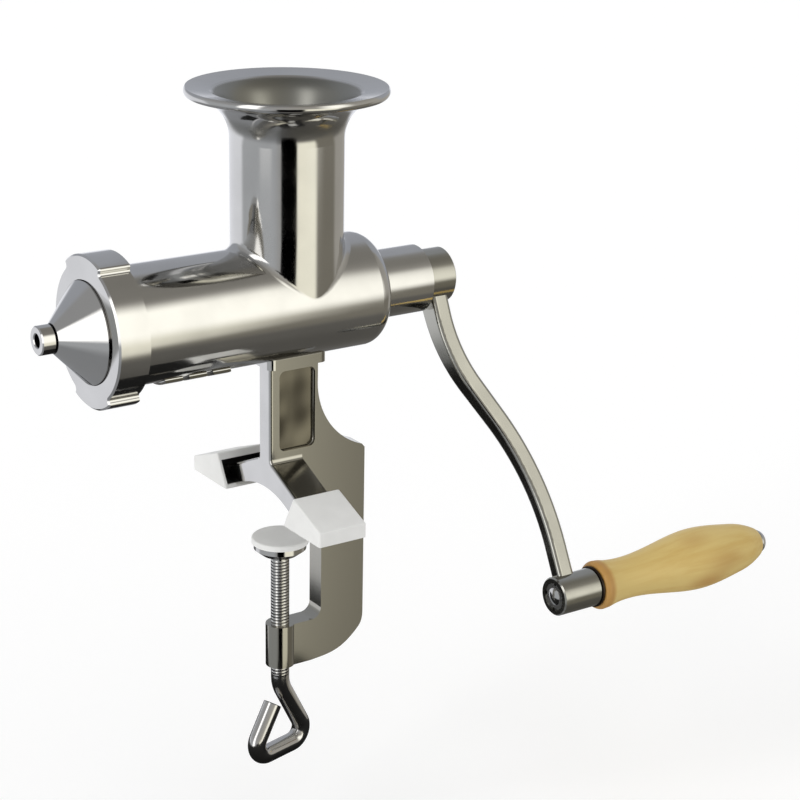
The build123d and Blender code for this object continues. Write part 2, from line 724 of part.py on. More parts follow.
with BuildPart() as wooden_grip:
    with BuildSketch(GRIP_SIDE):
        with BuildLine():
            bore = SPINDLE_R + GRIP_BORE_CLEARANCE
            Line((GRIP_END, bore), (GRIP_START, bore))
            Line((GRIP_START, bore), (GRIP_START, 9.8))
            RadiusArc((GRIP_START, 9.8), (GRIP_START + 2.0, 11.4), 2.2)
            Line((GRIP_START + 2.0, 11.4), (GRIP_START + 5.0, 11.2))
            Spline(
                (GRIP_START + 5.0, 11.2),
                (GRIP_START + 17.0, 9.8),
                (GRIP_START + 40.0, 12.1),
                (GRIP_START + 63.0, 14.6),
                (GRIP_START + 84.0, 12.2),
                (GRIP_END - 0.6, 7.4),
                tangents=[(1, -0.25), (1, -0.5)],
            )
            Line((GRIP_END - 0.6, 7.4), (GRIP_END, 6.8))
            Line((GRIP_END, 6.8), (GRIP_END, bore))
        make_face()
    revolve(axis=GRIP_AXIS)
finish(wooden_grip, "wooden_grip")

with BuildPart() as grip_washer:
    with BuildSketch(across(GRIP_HUB_OUTER, GRIP_Z, GRIP_Y)):
        Circle(GRIP_HUB_R + 0.6)
        Circle(SPINDLE_R, mode=Mode.SUBTRACT)
    extrude(amount=WASHER_T)
finish(grip_washer, "grip_washer")

with BuildPart() as grip_spindle:
    with BuildSketch(GRIP_SIDE):
        with BuildLine():
            tail = GRIP_HUB_INNER + NUT_RECESS - NUT_T - 0.2
            head = GRIP_END + BODY_GAP
            top = head + SPINDLE_DOME
            Line((tail - TAIL_DOME, 0), (top, 0))
            TangentArc((top, 0), (head + 1.2, SPINDLE_HEAD_R), tangent=(0, 1))
            Polyline(
                (head + 1.2, SPINDLE_HEAD_R),
                (head, SPINDLE_HEAD_R),
                (head, SPINDLE_R),
                (tail, SPINDLE_R),
            )
            TangentArc((tail - TAIL_DOME, 0), (tail, SPINDLE_R), tangent=(0, 1))
        make_face()
    revolve(axis=GRIP_AXIS)
finish(grip_spindle, "grip_spindle")

with BuildPart() as spindle_nut:
    with BuildSketch(across(GRIP_HUB_INNER + NUT_RECESS, GRIP_Z, GRIP_Y)):
        Circle(NUT_R)
        Circle(SPINDLE_R, mode=Mode.SUBTRACT)
    extrude(amount=-NUT_T)
    with BuildSketch(across(GRIP_HUB_INNER + NUT_RECESS - NUT_T, GRIP_Z, GRIP_Y)):
        with PolarLocations(NUT_R, 4):
            Circle(NUT_NOTCH_R)
    extrude(amount=NUT_T, mode=Mode.SUBTRACT)
finish(spindle_nut, "spindle_nut")

# ---------------------------------------------------------------- clamp screw and its pad

CUSHION_T = 2.6
CUP_FOOT_R = 8.5
CUP_TOP = -WORKTOP_T - CUSHION_T
CUP_T = 5.6
WEB_T = 2.0
POCKET_R = 5.0
SPIGOT_TOP = CUP_TOP - CUP_T + WEB_T + 0.1
SPIGOT_NECK_R = 3.0
SHANK_TOP = CUP_TOP - CUP_T - BODY_GAP
EYE_PLANE = Plane(
    origin=(SCREW_X, 0, 0),
    x_dir=(cos(radians(EYE_TURN)), sin(radians(EYE_TURN)), 0),
    z_dir=(sin(radians(EYE_TURN)), -cos(radians(EYE_TURN)), 0),
)

with BuildPart() as clamp_screw:
    # plain shank bent into a closed triangular eye
    with BuildLine(EYE_PLANE) as rod:
        FilletPolyline(
            (0, SHANK_TOP),
            (0, -91.0),
            (18.4, EYE_BOTTOM),
            (-20.6, EYE_BOTTOM),
            (-4.9, -99.6),
            radius=[16.0, 6.5, 6.5],
        )
    with BuildSketch(Plane.XY.offset(SHANK_TOP)):
        with Locations((SCREW_X, 0)):
            Circle(SCREW_R)
    sweep(path=rod.wires()[0])
    with BuildSketch(Plane.XY.offset(SHANK_TOP)):
        with Locations((SCREW_X, 0)):
            Circle(SPIGOT_NECK_R)
    extrude(amount=SPIGOT_TOP - SHANK_TOP)
finish(clamp_screw, "clamp_screw")

with BuildPart() as swivel_rivet:
    with BuildSketch(Plane.XY.offset(SPIGOT_TOP)):
        with Locations((SCREW_X, 0)):
            Circle(POCKET_R - 0.6)
    extrude(amount=CUP_TOP - SPIGOT_TOP - 0.6)
finish(swivel_rivet, "swivel_rivet")

with BuildPart() as clamp_pad:
    with BuildSketch(SCREW_SIDE):
        with BuildLine():
            Polyline(
                (SPIGOT_NECK_R + RUNNING_FIT, CUP_TOP - CUP_T),
                (CUP_FOOT_R, CUP_TOP - CUP_T),
                (PRESS_PAD_R, CUP_TOP - CUP_T / 2),
                (PRESS_PAD_R, CUP_TOP),
                (POCKET_R, CUP_TOP),
                (POCKET_R, CUP_TOP - CUP_T + WEB_T),
                (SPIGOT_NECK_R + RUNNING_FIT, CUP_TOP - CUP_T + WEB_T),
                close=True,
            )
        make_face()
    revolve(axis=SCREW_AXIS)
finish(clamp_pad, "clamp_pad")

with BuildPart() as pad_cushion:
    with BuildSketch(Plane.XY.offset(CUP_TOP)):
        with Locations((SCREW_X, 0)):
            Circle(PRESS_PAD_R + 1.0)
    extrude(amount=CUSHION_T)
    fillet(pad_cushion.edges().group_by(Axis.Z)[-1], 0.8)
finish(pad_cushion, "pad_cushion")
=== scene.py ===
# %% [markdown]
# # A hand-cranked wheatgrass juicer
# The object is a small kitchen press of polished stainless steel with a turned wooden grip and
# white feet. The engineering model gives every rigid piece its exact form, so this lesson is about
# the looks: how polished steel, sanded wood and moulded plastic are told apart by light.

from math import atan2, cos, degrees, radians, sin

import bpy
from mathutils import Matrix, Vector


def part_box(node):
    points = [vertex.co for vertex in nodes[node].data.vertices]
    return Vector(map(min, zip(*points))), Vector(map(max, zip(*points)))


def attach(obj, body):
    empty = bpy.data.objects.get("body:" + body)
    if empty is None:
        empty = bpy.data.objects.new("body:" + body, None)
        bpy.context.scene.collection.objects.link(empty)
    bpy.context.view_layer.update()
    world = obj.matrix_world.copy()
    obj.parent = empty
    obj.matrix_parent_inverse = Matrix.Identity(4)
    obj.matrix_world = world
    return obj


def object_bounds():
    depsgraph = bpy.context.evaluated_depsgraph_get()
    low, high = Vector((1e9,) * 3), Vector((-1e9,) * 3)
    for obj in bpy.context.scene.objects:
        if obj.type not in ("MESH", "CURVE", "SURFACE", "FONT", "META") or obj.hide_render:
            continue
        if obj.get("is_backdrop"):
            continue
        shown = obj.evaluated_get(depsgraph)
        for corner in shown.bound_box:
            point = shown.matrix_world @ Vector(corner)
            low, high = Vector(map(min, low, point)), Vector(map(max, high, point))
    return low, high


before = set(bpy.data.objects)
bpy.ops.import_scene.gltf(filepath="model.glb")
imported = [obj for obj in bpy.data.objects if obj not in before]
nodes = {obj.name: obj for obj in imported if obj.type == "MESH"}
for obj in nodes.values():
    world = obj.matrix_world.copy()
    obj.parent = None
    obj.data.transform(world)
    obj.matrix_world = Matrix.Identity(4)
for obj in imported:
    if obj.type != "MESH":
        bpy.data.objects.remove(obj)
CAD_LOW, CAD_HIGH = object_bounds()
MM = 0.001
print("pieces in the engineering model:", len(nodes))

# %% [markdown]
# ## Camera
# The photograph was taken from the left of the nozzle and a little above, with a long lens. A long
# lens keeps the parallel runs of the barrel nearly parallel in the picture.

# %% Camera at the photograph's angle
CAMERA_PLACE = Vector((-466.3, -771.3, 359.2)) * MM
CAMERA_AZIMUTH = radians(-34.35)
CAMERA_ELEVATION = radians(19.05)
CAMERA_ROLL = radians(1.1)
SENSOR_WIDTH = 36.0
LENS = 96.55

ahead = Vector((
    -sin(CAMERA_AZIMUTH) * cos(CAMERA_ELEVATION),
    cos(CAMERA_AZIMUTH) * cos(CAMERA_ELEVATION),
    -sin(CAMERA_ELEVATION),
))
camera_data = bpy.data.cameras.new("photo_camera")
camera_data.sensor_width = SENSOR_WIDTH
camera_data.lens = LENS
camera = bpy.data.objects.new("photo_camera", camera_data)
camera.location = CAMERA_PLACE
camera.rotation_euler = (
    ahead.to_track_quat("-Z", "Y").to_matrix() @ Matrix.Rotation(CAMERA_ROLL, 3, "Z")
).to_euler()
bpy.context.scene.collection.objects.link(camera)
bpy.context.scene.camera = camera
print("camera looks along", [round(value, 3) for value in ahead])

# %% [markdown]
# ## Small helpers
# Every finish below is a tree of shader nodes. The first helper adds a node and fills its inputs.
# The next ones each add one common step: a sum, a length, a colour mix, a soft step or noise. With
# them the cells that follow can talk about steel and wood and not about links.

# %% Add a node, do a sum, mix, step and scatter


def place(tree, kind, inputs, **settings):
    """Add a node, set its properties, then link or fill each named input."""
    node = tree.nodes.new(kind)
    for name, value in settings.items():
        setattr(node, name, value)
    for key, value in inputs.items():
        if isinstance(value, bpy.types.NodeSocket):
            tree.links.new(value, node.inputs[key])
        else:
            node.inputs[key].default_value = value
    return node


def maths(tree, operation, *values):
    """One step of arithmetic, given back as a socket."""
    return place(tree, "ShaderNodeMath", dict(enumerate(values)), operation=operation).outputs[0]


def vectors(tree, operation, first, second):
    """One step of arithmetic on vectors, given back as a socket."""
    inputs = {0: first, 1: second}
    return place(tree, "ShaderNodeVectorMath", inputs, operation=operation).outputs[0]


def hypotenuse(tree, first, second):
    """Distance from an axis, from the two distances at right angles to it."""
    square = maths(tree, "MULTIPLY", second, second)
    return maths(tree, "SQRT", maths(tree, "MULTIPLY_ADD", first, first, square))


def mixed(tree, amount, first, second):
    """First colour where amount is 0, second colour where it is 1."""
    inputs = {0: amount, 6: first, 7: second}
    return place(tree, "ShaderNodeMix", inputs, data_type="RGBA").outputs[2]


def ramped(tree, value, from_low, from_high, to_low=0.0, to_high=1.0):
    """A soft step from to_low to to_high while value goes from from_low to from_high."""
    inputs = {0: value, 1: from_low, 2: from_high, 3: to_low, 4: to_high}
    return place(tree, "ShaderNodeMapRange", inputs, interpolation_type="SMOOTHSTEP").outputs[0]


def noise(tree, vector, scale, detail, roughness=0.5):
    """Cloudy noise. Its outputs are a value and a colour."""
    inputs = {"Vector": vector, "Scale": scale, "Detail": detail, "Roughness": roughness}
    return place(tree, "ShaderNodeTexNoise", inputs)


def either(tree, choice, first, second):
    """The first shader where choice is 0, the second where it is 1."""
    inputs = {0: choice, 1: first.outputs[0], 2: second.outputs[0]}
    return place(tree, "ShaderNodeMixShader", inputs)


print("helpers for shader trees ready")

# %% [markdown]
# Effects that several finishes share become node groups. A group is opened with the names, kinds
# and usual values of its sockets. Geometry Nodes groups are opened by the same function.

# %% Open a group with named sockets


def new_group(name, inputs, outputs, kind="ShaderNodeTree"):
    """An empty group with named sockets, its entry node and its exit node."""
    group = bpy.data.node_groups.new(name, kind)
    for socket, socket_type in outputs.items():
        group.interface.new_socket(socket, in_out="OUTPUT", socket_type=socket_type)
    for socket, (socket_type, value) in inputs.items():
        made = group.interface.new_socket(socket, in_out="INPUT", socket_type=socket_type)
        if value is not None:
            made.default_value = value
    return group, group.nodes.new("NodeGroupInput"), group.nodes.new("NodeGroupOutput")


print("node groups can be opened")

# %% [markdown]
# ## What polished steel has to reflect
# A mirror has no colour of its own: in an empty white room this juicer would look like white paint.
# A product photographer stands white and black cards round such a piece, and the black line down
# the feed tube is one of them. The cards are painted on the world here, each given by the direction
# in which it stands, and only reflections see them. The pale backdrop among them is the white of
# this scene as the steel shows it. One group makes the mask of a card.

# %% A card in the room, as a mask over directions
card_group, card_in, card_out = new_group(
    "studio_card",
    {
        "Azimuth": ("NodeSocketFloat", None),
        "Elevation": ("NodeSocketFloat", None),
        "Middle": ("NodeSocketFloat", 0.0),
        "Half Width": ("NodeSocketFloat", 10.0),
        "Side Softness": ("NodeSocketFloat", 2.0),
        "Low": ("NodeSocketFloat", -10.0),
        "High": ("NodeSocketFloat", 10.0),
        "Softness": ("NodeSocketFloat", 2.0),
    },
    {"Mask": "NodeSocketFloat"},
)
side_step = maths(card_group, "SUBTRACT", card_in.outputs["Azimuth"], card_in.outputs["Middle"])
side_step = maths(card_group, "WRAP", side_step, 180.0, -180.0)
side_step = maths(card_group, "ABSOLUTE", side_step)
height = card_in.outputs["Elevation"]
inside = [
    (maths(card_group, "SUBTRACT", card_in.outputs["Half Width"], side_step), "Side Softness"),
    (maths(card_group, "SUBTRACT", height, card_in.outputs["Low"]), "Softness"),
    (maths(card_group, "SUBTRACT", card_in.outputs["High"], height), "Softness"),
]
edges = []
for distance, softness in inside:
    outside = maths(card_group, "MULTIPLY", card_in.outputs[softness], -1.0)
    edges.append(ramped(card_group, distance, outside, card_in.outputs[softness]))
sides = maths(card_group, "MULTIPLY", edges[0], edges[1])
whole = maths(card_group, "MULTIPLY", sides, edges[2])
card_group.links.new(whole, card_out.inputs["Mask"])
print("card group has", len(card_group.nodes), "nodes")

# %% [markdown]
# The room itself is a grey, brightest near eye level and darker straight down and straight up.
# Azimuths count from the camera, upwards to its right hand, so 0 is a card right behind the camera.

# %% The room and its cards
CAMERA_SIDE = degrees(atan2(CAMERA_PLACE.y, CAMERA_PLACE.x))
ROOM_TONES = {
    # elevation: grey
    -90: 0.05,
    -60: 0.11,
    -42: 0.14,
    -30: 0.17,
    -20: 0.42,
    5: 0.46,
    38: 0.38,
    56: 0.26,
    90: 0.19,
}
LEFT_TINT = (0.99, 1.0, 1.03, 1)
RIGHT_TINT = (1.04, 1.0, 0.92, 1)
CARDS = {
    # name: (middle, half width, side softness, low, high, softness, colour)
    "low_grey": (-95.0, 75.0, 9.0, -78.0, -24.0, 9.0, (0.3, 0.31, 0.33)),
    "cool_wall": (-175.0, 62.0, 9.0, -4.0, 52.0, 7.0, (0.42, 0.44, 0.49)),
    "left_wall": (-68.0, 48.0, 9.0, -28.0, 12.0, 9.0, (0.5, 0.52, 0.55)),
    "pale_backdrop": (-150.0, 49.0, 6.0, -26.0, 2.0, 5.0, (0.93, 0.95, 1.02)),
    "dim_corner": (86.0, 24.0, 6.0, -34.0, -9.0, 5.0, (0.24, 0.225, 0.19)),
    "warm_floor_glow": (40.0, 21.0, 5.0, -29.0, 2.0, 6.0, (1.22, 1.19, 1.02)),
    "right_softbox": (57.0, 15.0, 11.0, -7.0, 40.0, 10.0, (1.62, 1.6, 1.49)),
    "left_softbox": (-43.0, 12.0, 4.0, -10.0, 50.0, 4.0, (1.95, 1.95, 1.97)),
    "black_card": (4.0, 15.5, 1.5, -44.0, -2.0, 1.5, (0.0, 0.0, 0.0)),
}

world = bpy.data.worlds.new("studio")
world.use_nodes = True
bpy.context.scene.world = world
room = world.node_tree
room.nodes.clear()
direction = place(room, "ShaderNodeTexCoord", {}).outputs["Generated"]
toward = place(room, "ShaderNodeSeparateXYZ", {0: direction})
azimuth = maths(room, "ARCTAN2", toward.outputs["Y"], toward.outputs["X"])
azimuth = maths(room, "SUBTRACT", maths(room, "DEGREES", azimuth), CAMERA_SIDE)
elevation = maths(room, "DEGREES", maths(room, "ARCSINE", toward.outputs["Z"]))

tone = place(room, "ShaderNodeValToRGB", {0: maths(room, "MULTIPLY_ADD", elevation, 1 / 180, 0.5)})
for stop in range(len(ROOM_TONES) - 2):
    tone.color_ramp.elements.new(0.5)
for element, (angle, grey) in zip(tone.color_ramp.elements, ROOM_TONES.items()):
    element.position = angle / 180 + 0.5
    element.color = (grey, grey, grey, 1)
tone.color_ramp.interpolation = "EASE"

# the room is a little cooler to the camera's left and warmer to its right
to_right = maths(room, "SINE", maths(room, "RADIANS", azimuth))
tint = mixed(room, ramped(room, to_right, -0.6, 0.6), LEFT_TINT, RIGHT_TINT)
tinted = {0: 1.0, 6: tone.outputs["Color"], 7: tint}
seen = place(room, "ShaderNodeMix", tinted, data_type="RGBA", blend_type="MULTIPLY").outputs[2]
for name, (middle, half_width, side_softness, low, high, softness, colour) in CARDS.items():
    card = place(room, "ShaderNodeGroup", {}, node_tree=card_group, label=name)
    room.links.new(azimuth, card.inputs["Azimuth"])
    room.links.new(elevation, card.inputs["Elevation"])
    card.inputs["Middle"].default_value = middle
    card.inputs["Half Width"].default_value = half_width
    card.inputs["Side Softness"].default_value = side_softness
    card.inputs["Low"].default_value = low
    card.inputs["High"].default_value = high
    card.inputs["Softness"].default_value = softness
    seen = mixed(room, card.outputs["Mask"], seen, (*colour, 1))
print("cards in the room:", ", ".join(CARDS))

# %% [markdown]
# Light and reflection are kept apart. Reflections see the room with its cards. Everything else gets
# an even white light, a little under 1 because the sun below adds the rest. Together they show a
# colour about as it is written.

# %% Even light for colours, the room for reflections
EVEN_LIGHT = 0.78

rays = place(room, "ShaderNodeLightPath", {})
even = place(room, "ShaderNodeBackground", {"Color": (1, 1, 1, 1), "Strength": EVEN_LIGHT})
backdrop = place(room, "ShaderNodeBackground", {"Color": (1, 1, 1, 1), "Strength": 1.0})
cards = place(room, "ShaderNodeBackground", {"Color": seen, "Strength": 1.0})
plain = either(room, rays.outputs["Is Camera Ray"], even, backdrop)
split = either(room, rays.outputs["Is Glossy Ray"], plain, cards)
place(room, "ShaderNodeOutputWorld", {"Surface": split.outputs[0]})
bpy.context.scene.view_settings.view_transform = "Standard"
print("even light strength:", EVEN_LIGHT)

# %% [markdown]
# A soft sun from the left lights the pads and the wood from one side and throws a faint shadow. It
# is hidden from reflections, which already have their cards.

# %% Soft sun from the left
SUN_FROM = Vector((-1.0, -0.02, 0.62))
SUN_ANGLE = radians(40.0)
SUN_STRENGTH = 0.95

sun_data = bpy.data.lights.new("soft_sun", "SUN")
sun_data.angle = SUN_ANGLE
sun_data.energy = SUN_STRENGTH
sun = bpy.data.objects.new("soft_sun", sun_data)
sun.rotation_euler = (-SUN_FROM).to_track_quat("-Z", "Y").to_euler()
sun.visible_glossy = False
bpy.context.scene.collection.objects.link(sun)
sun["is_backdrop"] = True
print("sun from", tuple(SUN_FROM))

# %% [markdown]
# ## Floor
# A plain pale floor lies as far down as the clamp screw reaches when it is wound right out. Seen
# from below it is transparent, so that the underside of the juicer can be looked at. A little glow
# that only the camera sees lifts it to the white of the photograph and leaves the shadow.

# %% Pale floor
FLOOR_HALF = 6.0
SCREW_TRAVEL = 34.2 * MM
FLOOR_COLOUR = (0.93, 0.93, 0.93)
FLOOR_GLOW = 0.13


def level_sheet(name, low_x, high_x, low_y, high_y, height):
    """A flat rectangle that belongs to the studio and not to the juicer."""
    mesh = bpy.data.meshes.new(name)
    corners = [(low_x, low_y), (high_x, low_y), (high_x, high_y), (low_x, high_y)]
    mesh.from_pydata([(x, y, height) for x, y in corners], [], [(0, 1, 2, 3)])
    sheet = bpy.data.objects.new(name, mesh)
    bpy.context.scene.collection.objects.link(sheet)
    sheet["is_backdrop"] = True
    return sheet


floor_z = CAD_LOW[2] - SCREW_TRAVEL
floor = level_sheet("floor", -FLOOR_HALF, FLOOR_HALF, -FLOOR_HALF, FLOOR_HALF, floor_z)
floor.visible_glossy = False

floor_paint = bpy.data.materials.new("floor_paint")
floor_paint.use_nodes = True
tree = floor_paint.node_tree
shader = tree.nodes["Principled BSDF"]
shader.inputs["Base Color"].default_value = (*FLOOR_COLOUR, 1)
shader.inputs["Roughness"].default_value = 0.9
shader.inputs["Specular IOR Level"].default_value = 0.0
shader.inputs["Emission Color"].default_value = (1, 1, 1, 1)
camera_ray = place(tree, "ShaderNodeLightPath", {}).outputs["Is Camera Ray"]
tree.links.new(maths(tree, "MULTIPLY", camera_ray, FLOOR_GLOW), shader.inputs["Emission Strength"])
clear = place(tree, "ShaderNodeBsdfTransparent", {})
underside = place(tree, "ShaderNodeNewGeometry", {}).outputs["Backfacing"]
both = either(tree, underside, shader, clear)
tree.links.new(both.outputs[0], tree.nodes["Material Output"].inputs["Surface"])
floor.data.materials.append(floor_paint)
print("floor at", round(floor_z / MM, 1), "mm")

# %% [markdown]
# In the photograph the lower hub, the back of the crank and the bent rod all mirror something dark
# under them. A black cloth at the height of the rod's eye does the same here. It is there for
# reflections alone.

# %% Black cloth for reflections
CLOTH_X = (-0.085, 0.06)
CLOTH_Y = (-0.10, 0.26)
CLOTH_Z = CAD_LOW[2] - 0.1 * MM

cloth = level_sheet("black_cloth", *CLOTH_X, *CLOTH_Y, CLOTH_Z)
for ray in ("camera", "diffuse", "transmission", "shadow", "volume_scatter"):
    setattr(cloth, "visible_" + ray, False)
cloth_black = bpy.data.materials.new("cloth_black")
cloth_black.use_nodes = True
shader = cloth_black.node_tree.nodes["Principled BSDF"]
shader.inputs["Base Color"].default_value = (0.01, 0.01, 0.01, 1)
shader.inputs["Roughness"].default_value = 1.0
cloth.data.materials.append(cloth_black)
print("black cloth", CLOTH_X, CLOTH_Y)

# %% [markdown]
# ## Polished steel
# The steel was buffed on a wheel: it mirrors the room, with a faint haze that comes and goes and the
# finest of hairlines. One group makes both from two sizes of noise, and every steel finish below
# takes what it needs from it: the polish only a trace, the turned and cast pieces more.

# %% Haze and hairlines, shared by all steel
HAIRLINE_STRETCH = (1.0, 0.08, 0.3)

marks_group, marks_in, marks_out = new_group(
    "buffing_marks",
    {
        "Position": ("NodeSocketVector", None),
        "Haze Size": ("NodeSocketFloat", 0.02),
        "Hairline Size": ("NodeSocketFloat", 0.0004),
    },
    {"Haze": "NodeSocketFloat", "Hairlines": "NodeSocketFloat"},
)
haze_scale = maths(marks_group, "DIVIDE", 1.0, marks_in.outputs["Haze Size"])
haze_noise = noise(marks_group, marks_in.outputs["Position"], haze_scale, 3.0)
haze = ramped(marks_group, haze_noise.outputs[0], 0.3, 0.7)
line_scale = maths(marks_group, "DIVIDE", 1.0, marks_in.outputs["Hairline Size"])
stretched = vectors(marks_group, "MULTIPLY", marks_in.outputs["Position"], HAIRLINE_STRETCH)
line_noise = noise(marks_group, stretched, line_scale, 2.0)
marks_group.links.new(haze, marks_out.inputs["Haze"])
marks_group.links.new(line_noise.outputs[0], marks_out.inputs["Hairlines"])
print("buffing marks group ready")

# %% [markdown]
# Metals carry their tint in the base colour. Stainless steel is a light grey, a touch warmer than
# neutral. The finish is set by roughness: about 0.08 for a buffed mirror, 0.3 for a turned face.

# %% A steel finish
HAZE_DIMMING = 0.94


def steel(name, colour, smooth, hazy, hairline_depth):
    """Metal whose roughness wanders from smooth to hazy, with hairlines of the given depth."""
    material = bpy.data.materials.new(name)
    material.use_nodes = True
    tree = material.node_tree
    shader = tree.nodes["Principled BSDF"]
    position = place(tree, "ShaderNodeTexCoord", {}).outputs["Object"]
    marks = place(tree, "ShaderNodeGroup", {}, node_tree=marks_group)
    tree.links.new(position, marks.inputs["Position"])
    dimmed = [part * HAZE_DIMMING for part in colour]
    base = mixed(tree, marks.outputs["Haze"], (*colour, 1), (*dimmed, 1))
    roughness = ramped(tree, marks.outputs["Haze"], 0.0, 1.0, smooth, hazy)
    lines = {"Height": marks.outputs["Hairlines"], "Distance": hairline_depth}
    bump = place(tree, "ShaderNodeBump", lines)
    tree.links.new(base, shader.inputs["Base Color"])
    tree.links.new(roughness, shader.inputs["Roughness"])
    tree.links.new(bump.outputs[0], shader.inputs["Normal"])
    shader.inputs["Metallic"].default_value = 1.0
    return material


STEEL_COLOUR = (0.64, 0.63, 0.605)

polished_steel = steel("polished_steel", STEEL_COLOUR, 0.07, 0.12, 0.000002)
turned_steel = steel("turned_steel", STEEL_COLOUR, 0.2, 0.3, 0.00001)
cast_steel = steel("cast_steel", (0.5, 0.49, 0.47), 0.3, 0.42, 0.00003)
crank_steel = steel("crank_steel", (0.46, 0.45, 0.4), 0.12, 0.2, 0.000004)
# the grip washer between the crank's hub and the grip is painted almost black
dark_steel = steel("near_black_steel", (0.06, 0.045, 0.035), 0.35, 0.5, 0.00001)
print("steel finishes:", polished_steel.name, turned_steel.name, cast_steel.name, dark_steel.name)

# %% [markdown]
# Some places look different on the real juicer: the buffing wheel doesn't reach some of them, and
# shade falls in others, which is painted into their colour. Each is a box, a tube or a cone in the
# object's own coordinates, so that its mask can be made from distances and needs no texture map.

# %% Masks of boxes, tubes and cones
BARREL_Z = 94.0 * MM


def inside_box(tree, position, low, high, softness):
    """1 inside the box from low to high, counting y on both sides alike."""
    axes = place(tree, "ShaderNodeSeparateXYZ", {0: position})
    parts = [axes.outputs["X"], maths(tree, "ABSOLUTE", axes.outputs["Y"]), axes.outputs["Z"]]
    mask = 1.0
    for part, start, end in zip(parts, low, high):
        rising = ramped(tree, part, start - softness, start + softness)
        falling = ramped(tree, part, end - softness, end + softness, 1.0, 0.0)
        mask = maths(tree, "MULTIPLY", mask, maths(tree, "MULTIPLY", rising, falling))
    return mask


def inside_bore(tree, position, radius, softness):
    """1 closer to the barrel's axis than radius."""
    axes = place(tree, "ShaderNodeSeparateXYZ", {0: position})
    above = maths(tree, "SUBTRACT", axes.outputs["Z"], BARREL_Z)
    distance = hypotenuse(tree, above, axes.outputs["Y"])
    return ramped(tree, distance, radius - softness, radius + softness, 1.0, 0.0)


def inside_cone(tree, position, foot_radius, foot_height, opening, softness):
    """1 closer to the feed tube's axis than a cone that opens upwards."""
    axes = place(tree, "ShaderNodeSeparateXYZ", {0: position})
    height = maths(tree, "SUBTRACT", axes.outputs["Z"], foot_height)
    wall = maths(tree, "MULTIPLY_ADD", height, opening, foot_radius)
    past_wall = maths(tree, "SUBTRACT", hypotenuse(tree, axes.outputs["X"], axes.outputs["Y"]), wall)
    return ramped(tree, past_wall, -softness, softness, 1.0, 0.0)


print("the barrel's axis lies at", round(BARREL_Z / MM), "mm")

# %% [markdown]
# Such a place keeps the metal under it and gets another colour and roughness on top. A pressed or
# cast face is also never quite flat, so low waves can be added: they bend a reflection, which is
# how the eye tells such a face from a ground one.

# %% Another skin over part of a metal
WAVE_SCALE = 42.0


def overlay(material, mask_maker, sizes, colour, roughness, waves=0.0):
    """Lay another colour and roughness over a finished metal where the mask is 1."""
    tree = material.node_tree
    shader = tree.nodes["Principled BSDF"]
    position = place(tree, "ShaderNodeTexCoord", {}).outputs["Object"]
    mask = mask_maker(tree, position, *sizes)
    old_colour = shader.inputs["Base Color"].links[0].from_socket
    old_roughness = shader.inputs["Roughness"].links[0].from_socket
    tree.links.new(mixed(tree, mask, old_colour, colour), shader.inputs["Base Color"])
    blend = place(tree, "ShaderNodeMix", {0: mask, 2: old_roughness, 3: roughness})
    tree.links.new(blend.outputs[0], shader.inputs["Roughness"])
    if waves:
        hills = noise(tree, position, WAVE_SCALE, 1.0).outputs[0]
        height = maths(tree, "MULTIPLY", hills, mask)
        old_normal = shader.inputs["Normal"].links[0].from_socket
        bent = {"Height": height, "Distance": waves, "Normal": old_normal}
        tree.links.new(place(tree, "ShaderNodeBump", bent).outputs[0], shader.inputs["Normal"])


print("overlays ready")

# %% [markdown]
# The stand's sides are painted a darker, browner steel than its narrow front, and are a little
# rougher. The recessed panel of its column was not buffed, so it is rougher and wavy, and its dark
# colour is painted shade in the recess.

# %% Stand
SIDES_LOW = Vector((-11.2, -1.0, -100.0)) * MM
SIDES_HIGH = Vector((60.0, 60.0, 70.0)) * MM
SIDES_EDGE = 0.3 * MM
SIDES_DARKER_BROWN = (0.42, 0.405, 0.355, 1)
PANEL_LOW = Vector((-6.8, 0.0, 25.6)) * MM
PANEL_HIGH = Vector((11.6, 3.4, 63.0)) * MM
PANEL_EDGE = 0.5 * MM
PANEL_PAINTED_SHADE = (0.17, 0.155, 0.12, 1)
WAVES = 1.6 * MM

stand_steel = steel("stand_steel", STEEL_COLOUR, 0.07, 0.12, 0.000002)
# the sides are painted darker and browner than the narrow front
overlay(stand_steel, inside_box, (SIDES_LOW, SIDES_HIGH, SIDES_EDGE), SIDES_DARKER_BROWN, 0.13)
# painted shade: the recessed panel is painted a dark brown, over a rougher, wavy face
overlay(stand_steel, inside_box, (PANEL_LOW, PANEL_HIGH, PANEL_EDGE), PANEL_PAINTED_SHADE, 0.16, WAVES)
print("stand finish:", stand_steel.name)

# %% [markdown]
# The pulp hole and the groove behind the nozzle's tip are too deep for light, and are painted black
# as painted shade. Under the barrel the lips of the juice slots stand out of the round wall. They
# are painted dark as painted shade under the barrel, and are rougher.

# %% Nozzle and barrel
PULP_HOLE_R = 2.95 * MM
GROOVE_LOW = Vector((-113.25, 0.0, 60.0)) * MM
GROOVE_HIGH = Vector((-112.15, 30.0, 130.0)) * MM
SHADE = (0.01, 0.01, 0.01, 1)
LIPS_LOW = Vector((-73.0, -1.0, 55.0)) * MM
LIPS_HIGH = Vector((-30.0, 17.0, 80.0)) * MM
BARREL_R = 25.5 * MM
LIPS_EDGE = 0.2 * MM
PAINTED_SHADE_DARK = (0.07, 0.065, 0.05, 1)


def on_lips(tree, position):
    """1 on what stands out of the barrel's round wall near the juice slots."""
    near = inside_box(tree, position, LIPS_LOW, LIPS_HIGH, LIPS_EDGE)
    inner = inside_bore(tree, position, BARREL_R + LIPS_EDGE, 0.1 * MM)
    return maths(tree, "MULTIPLY", near, maths(tree, "SUBTRACT", 1.0, inner))


